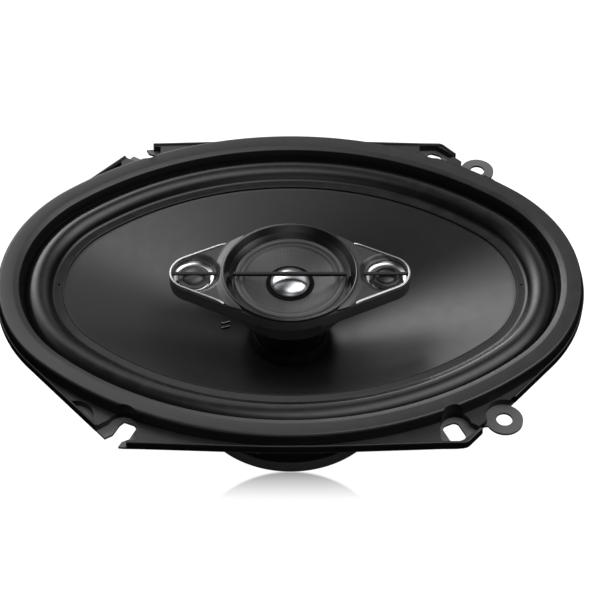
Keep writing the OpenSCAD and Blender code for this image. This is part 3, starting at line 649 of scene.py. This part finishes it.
def build_spider():
    waves, r0, r1 = 6, 18.6, 37.6
    z_flat = -31 + 0.05
    line = [(15.6, z_flat + 1.2)]
    line += [(r0 + (r1 - r0) * i / (waves * 12), z_flat + 1.2 + 1.1 * math.sin(2 * math.pi * i / 12))
             for i in range(waves * 12 + 1)]
    line += [(39, z_flat), (42.6, z_flat)]
    profile = line + [(r, z + 0.5) for r, z in reversed(line)]
    spider = lathe("spider_cloth", profile, cloth, n=160, sharp=50)
    place_soft(spider, "spider")
    set_blend(spider, lambda p: (38.5 - math.hypot(p.x, p.y)) / (38.5 - 17.5))


def build_tinsel():
    for side, name in ((1, "positive"), (-1, "negative")):
        z_lug = Z_BOARD + BOARD_T + 1.6
        lead = tube("tinsel_lead_" + name, [
            (-25.5, 1.6 + side * 1.35, -24.95), (-31, 1 + side * 2.9, -24.4), (-37, 0.3 + side * 4.4, -24.2),
            (-43.5, side * 5.6, -26), (-48.4, side * 6.2, -29), (-50.3, side * 6.4, z_lug)
        ], 0.6, lead_copper, sides=12)
        place_soft(lead, "tinsel_leads")
        set_blend(lead, lambda p: (p.x + 50.3) / (50.3 - 28.0))


def build_eyelets():
    """Ends of the leads where they come through the cone: two short bright dashes."""
    for side, name in ((1, "back"), (-1, "front")):
        x0, y0, z0 = -25.5, 1.7 + side * 1.22, -22.9
        path = [(x0 + d, y0 + 0.68 * d, z0 - 0.38 * d) for d in (-1.45, -0.5, 0.5, 1.45)]
        dash = tube("lead_end_" + name, path, 0.3, silver, sides=12)
        place(dash, "cone_assembly", "lead_eyelets")


# ---- Motor ----------------------------------------------------------------------------------

MAGNET_R = 40.4
YOKE_T, MAGNET_T, TOP_PLATE_T = 6.0, 15.5, 5.0
# a hair between the plates, so that no two faces share a plane
HAIR = 0.02
FORMER_R, WIRE_R = 15.6, 16.3


def build_motor():
    z_magnet = -MOUNT + YOKE_T
    z_plate = z_magnet + MAGNET_T
    z_base = z_plate + TOP_PLATE_T

    def slab(name, inner, outer, z0, z1, edge, steps, mat):
        corners = [(inner, z0 + HAIR), (outer, z0 + HAIR), (outer, z1 - HAIR), (inner, z1 - HAIR)]
        return lathe(name, fillet(corners, edge, steps), mat, n=192)

    magnet = slab("ferrite_ring", 20, MAGNET_R, z_magnet, z_plate, 0.5, 4, ferrite)
    place(magnet, "frame", "magnet")
    top = slab("motor_top_plate", 17.1, MAGNET_R - 1, z_plate, z_base, 0.35, 3, zinc)
    place(top, "frame", "top_plate")


def build_voice_coil():
    inner, z_bend, z_top = FORMER_R - 0.3, -27.5, -24.0
    former_tube = lathe("coil_former", fillet([
        (inner, -46.5), (FORMER_R, -46.5), (FORMER_R, z_bend), (14.35, z_top), (13.98, z_top), (inner, z_bend)
    ], [0.08, 0.08, 0.8, 0.15, 0.1, 0.8], 3), former, n=128)
    place(former_tube, "cone_assembly", "voice_coil_former")
    turns, z_first, z_last = 40, -45.5, -33.5
    groove = WIRE_R - 0.18
    profile = [(FORMER_R, z_first)]
    for i in range(turns):
        z = z_first + (z_last - z_first) * i / turns
        profile += [(groove, z), (WIRE_R, z + 0.075), (WIRE_R, z + 0.225)]
    profile += [(groove, z_last), (FORMER_R, z_last)]
    winding = lathe("coil_winding", profile, copper, n=96, sharp=60)
    place(winding, "cone_assembly", "voice_coil_winding")


def capacitor(name, node, x, r, length, mat):
    """Sleeved can lying along Y, with a rolled groove near one end."""
    z = Z_BOARD - r - 0.7
    body = [(0, 0), (r - 0.5, 0), (r, 0.5), (r, length - 3.0), (r - 0.45, length - 2.5),
            (r - 0.45, length - 2.1), (r, length - 1.6), (r, length - 0.45), (r - 0.4, length),
            (r - 1.0, length), (r - 1.1, length - 0.5), (0, length - 0.5)]
    profile = fillet(body, [0, 0.3, 0.3, 0.25, 0.2, 0.2, 0.25, 0.3, 0.2, 0.1, 0.1, 0], 3, closed=False)
    n = 96
    loops = [[(x + max(q, 0.01) * math.cos(2 * math.pi * i / n), -length / 2 + h,
               z + max(q, 0.01) * math.sin(2 * math.pi * i / n)) for i in range(n)] for q, h in profile]
    place(loft(name, loops, mat), "frame", node)


def build_crossover():
    capacitor("film_capacitor", "large_capacitor", -48.6, 4.6, 18, sleeve_blue)
    capacitor("electrolytic_capacitor", "small_capacitor", -61.5, 3.4, 16, sleeve_black)


# ---- Bridge ---------------------------------------------------------------------------------

TWEETER_X, TIP_R, SLOPE = 36.8, 9.3, 27.0
CUP_R = 26.0
Z_CUP = -6.8
# the bright strip's width, which the face stays clear of
STRIP_W = 0.9
WING_NORMAL = math.radians(90 - SLOPE)


def wing_path(inset, x_from):
    """Open path round a wing towards +X, from its back edge round the tip to its front edge."""
    r = TIP_R - inset
    tip = (TWEETER_X + r * math.cos(WING_NORMAL), r * math.sin(WING_NORMAL))
    rise = math.tan(math.radians(SLOPE))
    start = (x_from, tip[1] + (tip[0] - x_from) * rise)
    straight = [tuple(Vector(start).lerp(Vector(tip), k / 10)) for k in range(10)]
    half = straight + arc((TWEETER_X, 0), r, 90 - SLOPE, 0, 20)
    return half + mirror_y(half)[1:]


def wing_shell(side):
    """Tray of one wing: outer wall, rounded bottom edge and a floor open round the tweeter."""
    name = "right" if side > 0 else "left"
    steps = [(1.6, 1.1), (0.7, 1.3), (0.15, 1.9), (0, 2.8), (0, 7.45), (0.12, 7.6), (1.1, 7.6),
             (1.25, 7.4), (1.3, 3.0), (1.6, 2.6)]
    loops = []
    for inset, z in steps:
        # the inner wall ends further out, so that the end beside the bezel has a thickness to cut
        path = wing_path(inset, 16.0 if inset > 1.2 and z > 2 else 12.0)
        loops.append([(side * x, y, z) for x, y in path])
    shell = loft("wing_shell_" + name, loops, housing_plastic)
    cut(shell, [prism(circle(7.35, (side * TWEETER_X, 0), 96), 0, 6), prism(circle(24.7, n=160), 0, 9)])
    place(shell, "frame", "bridge_housing")
    cup = fillet([(0, 0.2), (8.0, 0.2), (8.4, 2.6), (8.4, 4.6), (7.35, 4.6), (7.35, 1.42), (0, 1.42)],
                 [0, 0.5, 0, 0.2, 0.2, 0.2, 0], 3, closed=False)
    boss = lathe("tweeter_cup_" + name, cup, housing_plastic, (side * TWEETER_X, 0), 96, closed=False)
    place(boss, "frame", "bridge_housing")


def wing_strip(side):
    """Bright strip round a wing, wider along the front edge, with rounded top and ends."""
    name = "right" if side > 0 else "left"
    path = wing_path(0, 25.0)
    n = len(path)
    section = fillet([(0.02, 7.5), (0.0, 8.75), (0.75, 8.75), (0.95, 8.2), (0.95, 7.5)],
                     [0, 0.35, 0.3, 0.2, 0], 4)
    loops = []
    for i in range(n):
        share = i / (n - 1)
        wide = 0.95 + 0.3 * share
        a, b = Vector(path[max(i - 1, 0)]), Vector(path[min(i + 1, n - 1)])
        t = (b - a).normalized()
        inward = Vector((t.y, -t.x))
        end = min(i, n - 1 - i)
        lower = {0: 0.55, 1: 0.92}.get(end, 1.0)
        loops.append([(side * (path[i][0] + inward.x * u * wide), path[i][1] + inward.y * u * wide,
                       7.5 + (z - 7.5) * lower) for u, z in section])
    strip = loft("wing_strip_" + name, loops, satin_chrome)
    place(strip, "frame", name + "_wing_trim")


def smoothstep(lo, hi, v):
    u = min(1.0, max(0.0, (v - lo) / (hi - lo)))
    return u * u * (3 - 2 * u)


def wing_face(side):
    """Glossy face of a wing. It dips into the tweeter's opening and rises to the bezel."""
    name = "right" if side > 0 else "left"
    hole = 8.15
    n, rings = 240, 22
    normal = Vector((math.sin(math.radians(SLOPE)), math.cos(math.radians(SLOPE))))
    tip_d = TIP_R - STRIP_W

    def reach(q):
        """Distance from the tweeter's axis to the face's outer edge in direction q."""
        d = Vector((math.cos(q), math.sin(q)))
        best = 1e9
        for ny in (1, -1):
            m = Vector((normal.x, ny * normal.y))
            if d.dot(m) > 1e-6:
                best = min(best, tip_d / d.dot(m))
        hit = tip_d if abs(q) < WING_NORMAL else best
        # beside the bezel there is no bright strip and the face runs out to the wall
        hit *= 1 + (TIP_R - 0.05 - tip_d) / tip_d * (1 - smoothstep(24.6, 25.3, TWEETER_X + hit * d.x))
        b = TWEETER_X * d.x
        c = TWEETER_X ** 2 - (CUP_R + 0.05) ** 2
        if b < 0 and b * b - c > 0:
            hit = min(hit, -b - math.sqrt(b * b - c))
        return hit

    def face_z(x, y, r):
        dip = 1.5 * (1 - smoothstep(hole - 0.2, hole + 2.6, r))
        shoulder = 0.75 * (1 - smoothstep(CUP_R, CUP_R + 3.0, math.hypot(x, y)))
        return 8.25 - dip + shoulder

    angles = [math.remainder(2 * math.pi * i / n, 2 * math.pi) for i in range(n)]
    loops = []
    for k in range(rings + 1):
        share = (k / rings) ** 1.4
        loop = []
        for q in angles:
            far = reach(q)
            r = min(hole, far - 0.15) + (far - min(hole, far - 0.15)) * share
            x, y = TWEETER_X + r * math.cos(q), r * math.sin(q)
            loop.append((side * x, y, face_z(x, y, r)))
        loops.append(loop)
    under = [[(x, y, z - 0.9) for x, y, z in loops[-1]], [(x, y, z - 0.6) for x, y, z in loops[0]]]
    face = loft("wing_face_" + name, loops + under, face_black, closed=True, sharp=45)
    place(face, "frame", name + "_face_plate")
    bar = guard_bar("tweeter_guard_" + name, TWEETER_X * side, 8.55, 1.5, 7.3, 8.1)
    place(bar, "frame", name + "_face_plate")


def guard_bar(name, x, half, width, z0, z1):
    """Straight bar along X with a rounded top."""
    w = width / 2
    section = fillet([(-w, z0), (-w, z1), (w, z1), (w, z0)], [0.15, 0.35, 0.35, 0.15], 4)
    xs = [-half, -half * 0.5, 0, half * 0.5, half]
    return loft(name, [[(x + d, y, z) for y, z in section] for d in xs], bar_plastic)


def crown(centre_r, r, z, rise, start, end, step):
    """Part of an ellipse in a turned profile, by angles in degrees from its outer side."""
    return [(centre_r + r * math.cos(math.radians(q)), z + rise * math.sin(math.radians(q)))
            for q in range(start, end + 1, step)]


def build_tweeter(side):
    name = "right" if side > 0 else "left"
    at = (side * TWEETER_X, 0)
    bowl = [(8.35, 6.5), (8.3, 6.75), (8.12, 6.75)]
    bowl += [(6.35 + 1.75 * math.sin(math.radians(q)), 6.75 - 1.2 * math.cos(math.radians(q)))
             for q in range(84, -1, -7)]
    bowl += [(6.3, 5.4), (8.35, 5.4)]
    place(lathe("tweeter_bowl_" + name, bowl, chrome, at, 128), "frame", name + "_reflector")
    z_edge = 5.95
    if side < 0:
        foot = fillet([(6.2, 5.7), (6.2, 5.9), (4.7, z_edge)], [0, 0.08, 0], 2, closed=False)
        dome = foot + crown(0, 4.45, z_edge, 1.75, 0, 90, 6) + [(0, 7.4), (4.2, 5.7)]
        obj = lathe("soft_dome_left", dome, dark_dome, at, 96, closed=False, sharp=60)
    else:
        ring = [(6.2, 5.7), (6.2, 5.92), (5.8, z_edge)] + crown(4.95, 0.78, z_edge, 0.75, 0, 180, 15)
        ring += [(3.95, 5.9)] + crown(0, 3.75, z_edge, 1.15, 0, 90, 6) + [(0, 6.8), (3.4, 5.7)]
        obj = lathe("ring_dome_right", ring, ring_dome, at, 96, closed=False, sharp=60)
    place(obj, name + "_tweeter_diaphragm", name + "_tweeter_dome")


def build_bridge():
    post = fillet([(0, -37), (13.7, -37), (13.7, -9.6), (14.3, -9.2), (14.3, -6.8), (0, -6.8)],
                  [0, 0.3, 0.6, 0.4, 0.2, 0], 4, closed=False)
    post_obj = lathe("bridge_post", post, trim_plastic, n=128, closed=False)
    cut(post_obj, [prism(circle(2.55, n=48), -38, -21),
                   prism(fillet([(-11.2, -3), (-7.8, -3), (-7.8, 3), (-11.2, 3)], 1.6, 4), -38, -6)])
    place(post_obj, "frame", "post")
    cup = fillet([(0, Z_CUP), (22, Z_CUP), (25.2, 3.4), (CUP_R, 3.4), (CUP_R, 8.2), (24.6, 8.2), (24.6, 4.2),
                  (24.0, 4.2), (20.6, Z_CUP + 1.8), (0, Z_CUP + 1.8)],
                 [0, 2.5, 0.3, 0.5, 0, 0.1, 0.1, 0.3, 1.0, 0], 4, closed=False)
    place(lathe("bridge_cup", cup, housing_plastic, n=160, closed=False), "frame", "bridge_housing")
    bezel = fillet([(CUP_R, 8.2), (CUP_R + 0.1, 9.35), (25.3, 9.4), (23.3, 7.3), (21.3, 5.72), (21.5, 5.55),
                    (22.8, 5.6), (24.3, 6.9), (24.3, 8.2)],
                   [0, 0.3, 0.5, 3.0, 0.3, 0.1, 0, 0, 0], 6)
    place(lathe("bezel_ring", bezel, gloss_black, n=192), "frame", "centre_bezel")
    place(guard_bar("midrange_guard", 0, 21.6, 1.55, 6.9, 8.2), "frame", "centre_bezel")
    for side in (1, -1):
        wing_shell(side)
        wing_strip(side)
        wing_face(side)
        build_tweeter(side)


def build_midrange():
    cone = [(8.05, 1.8), (9.2, 1.8), (19.4, 4.75), (19.4, 5.25)]
    cone += [(18.75, 5.3), (18.45, 5.5), (18.1, 5.55), (17.75, 5.4), (17.5, 5.08)]
    cone += [(17.5 - 8.3 * k / 14, 5.08 - 2.75 * (1 - (1 - k / 14) ** 1.25)) for k in range(1, 15)]
    cone += [(8.05, 2.3)]
    place(lathe("midrange_cone_skin", cone, mid_cone, n=192, sharp=50), "midrange_diaphragm", "midrange_cone")
    dome = [(7.3, 2.4), (7.7, 2.4)] + crown(0, 7.7, 2.5, 3.2, 0, 90, 5) + [(0, 5.4)]
    place(lathe("midrange_dome_cap", dome, silver, n=160, closed=False, sharp=60), "midrange_diaphragm",
          "midrange_dome")
    seal = fillet([(7.75, 2.42), (9.3, 2.42), (9.25, 2.62), (8.5, 2.5), (7.8, 2.75)],
                  [0, 0.1, 0.3, 0, 0.05], 3)
    place(lathe("dome_seal", seal, foam, n=128), "midrange_diaphragm", "midrange_seal")
    roll = [(18.75, 5.32), (19.35, 5.32), (19.9, 5.55), (20.4, 5.55), (20.9, 5.1), (23.4, 5.1), (23.4, 5.5),
            (21.35, 5.52)]
    roll += crown(20.3, 1.0, 5.52, 0.5, 15, 165, 15)
    roll += [(19.2, 5.45), (18.85, 5.5)]
    obj = lathe("midrange_roll", roll, mid_roll, n=192, sharp=50)
    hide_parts("midrange_surround")
    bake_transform(obj, "frame", "midrange_diaphragm", start=(0.0234, 0, 0.069), end=(0.0187, 0, 0.069))
    set_blend(obj, lambda p: (21.3 - math.hypot(p.x, p.y)) / (21.3 - 19.2))


build_trim()
build_surround()
build_cone()
build_spider()
build_tinsel()
build_eyelets()
build_motor()
build_voice_coil()
build_crossover()
build_bridge()
build_midrange()

# ---- Studio ---------------------------------------------------------------------------------

# Softboxes as smooth patches of the sky: direction, brightness and sharpness
SKY = [
    ((-0.40, 0.76, 0.50), 6.4, 24),
    ((0.34, 0.26, 0.91), 2.2, 30),
    ((0.10, -0.14, 0.98), 3.0, 30),
    ((0.55, 0.10, 0.83), 3.4, 20),
    ((-0.75, 0.35, 0.56), 0.6, 20),
    ((0.40, 0.76, 0.50), 0.9, 24),
    ((0.0, -0.85, 0.50), 0.7, 12),
    ((-0.15, 0.98, 0.12), 6.0, 120),
]
SKY_BASE = 0.03


def build_sky():
    world = bpy.data.worlds.new("studio")
    bpy.context.scene.world = world
    world.use_nodes = True
    tree = world.node_tree
    back = tree.nodes["Background"]
    back.inputs["Color"].default_value = (1, 1, 1, 1)
    tex = tree.nodes.new("ShaderNodeTexCoord")
    split = tree.nodes.new("ShaderNodeSeparateXYZ")
    tree.links.new(tex.outputs["Generated"], split.inputs["Vector"])
    total = remap(tree, split.outputs["Z"], 0.0, SKY_BASE, -0.05, 0.15)
    for direction, strength, sharpness in SKY:
        dot = tree.nodes.new("ShaderNodeVectorMath")
        dot.operation = "DOT_PRODUCT"
        tree.links.new(tex.outputs["Generated"], dot.inputs[0])
        dot.inputs[1].default_value = Vector(direction).normalized()
        lobe = math_node(tree, "POWER", math_node(tree, "MAXIMUM", dot.outputs["Value"], 0.0), sharpness)
        total = math_node(tree, "ADD", total, math_node(tree, "MULTIPLY", lobe, strength))
    tree.links.new(total, back.inputs["Strength"])
    bpy.context.scene.view_settings.view_transform = "Standard"


def build_floor():
    """White floor, with a painted reflection of the magnet: a soft dark patch painted on the floor in front
    of it.
    """
    # 20 m each way, so that a low camera still sees floor up to the horizon
    half = 20000
    floor = make("floor", [(-half, -half, 0), (half, -half, 0), (half, half, 0), (-half, half, 0)],
                 [(0, 1, 2, 3)], z0=-0.3)
    mat, tree, shader = new_material("floor")
    shader.inputs["Base Color"].default_value = (0.25, 0.25, 0.25, 1)
    shader.inputs["Roughness"].default_value = 0.5
    shader.inputs["Specular IOR Level"].default_value = 0.1
    shader.inputs["Emission Color"].default_value = (1, 1, 1, 1)
    vec = coords(tree)
    split = tree.nodes.new("ShaderNodeSeparateXYZ")
    tree.links.new(vec, split.inputs["Vector"])
    # painted reflection of the magnet: a round dark patch that touches the magnet's front edge and fades away
    # from it, in metres
    front, patch_r, blur, reach = -0.0405, 0.0360, 0.0012, 0.0145
    offset = math_node(tree, "ADD", split.outputs["Y"], patch_r - front)
    square = math_node(tree, "ADD", math_node(tree, "MULTIPLY", split.outputs["X"], split.outputs["X"]),
                       math_node(tree, "MULTIPLY", offset, offset))
    painted_reflection_disc = remap(tree, math_node(tree, "SQRT", square, 0.0), 1.0, 0.0, patch_r, patch_r + blur)
    fade = remap(tree, split.outputs["Y"], 0.0, 1.0, -0.040 - reach, -0.040)
    dark = math_node(tree, "MULTIPLY", painted_reflection_disc, math_node(tree, "POWER", fade, 1.2))
    # the painted reflection dims the floor's glow from 1.0 to 0.30 at its darkest
    tree.links.new(remap(tree, dark, 1.0, 0.30, 0.0, 1.0), shader.inputs["Emission Strength"])
    floor.data.materials.append(mat)
    floor.visible_diffuse = False
    floor.visible_glossy = False


def build_camera():
    data = bpy.data.cameras.new("camera")
    data.lens = 99.573
    data.sensor_width = 36
    data.clip_start = 0.01
    camera = bpy.data.objects.new("camera", data)
    camera.location = (0.00381, -0.44440, 0.52315)
    camera.rotation_euler = (math.radians(43.606), 0, 0)
    bpy.context.scene.collection.objects.link(camera)
    bpy.context.scene.camera = camera


build_sky()
build_floor()
build_camera()
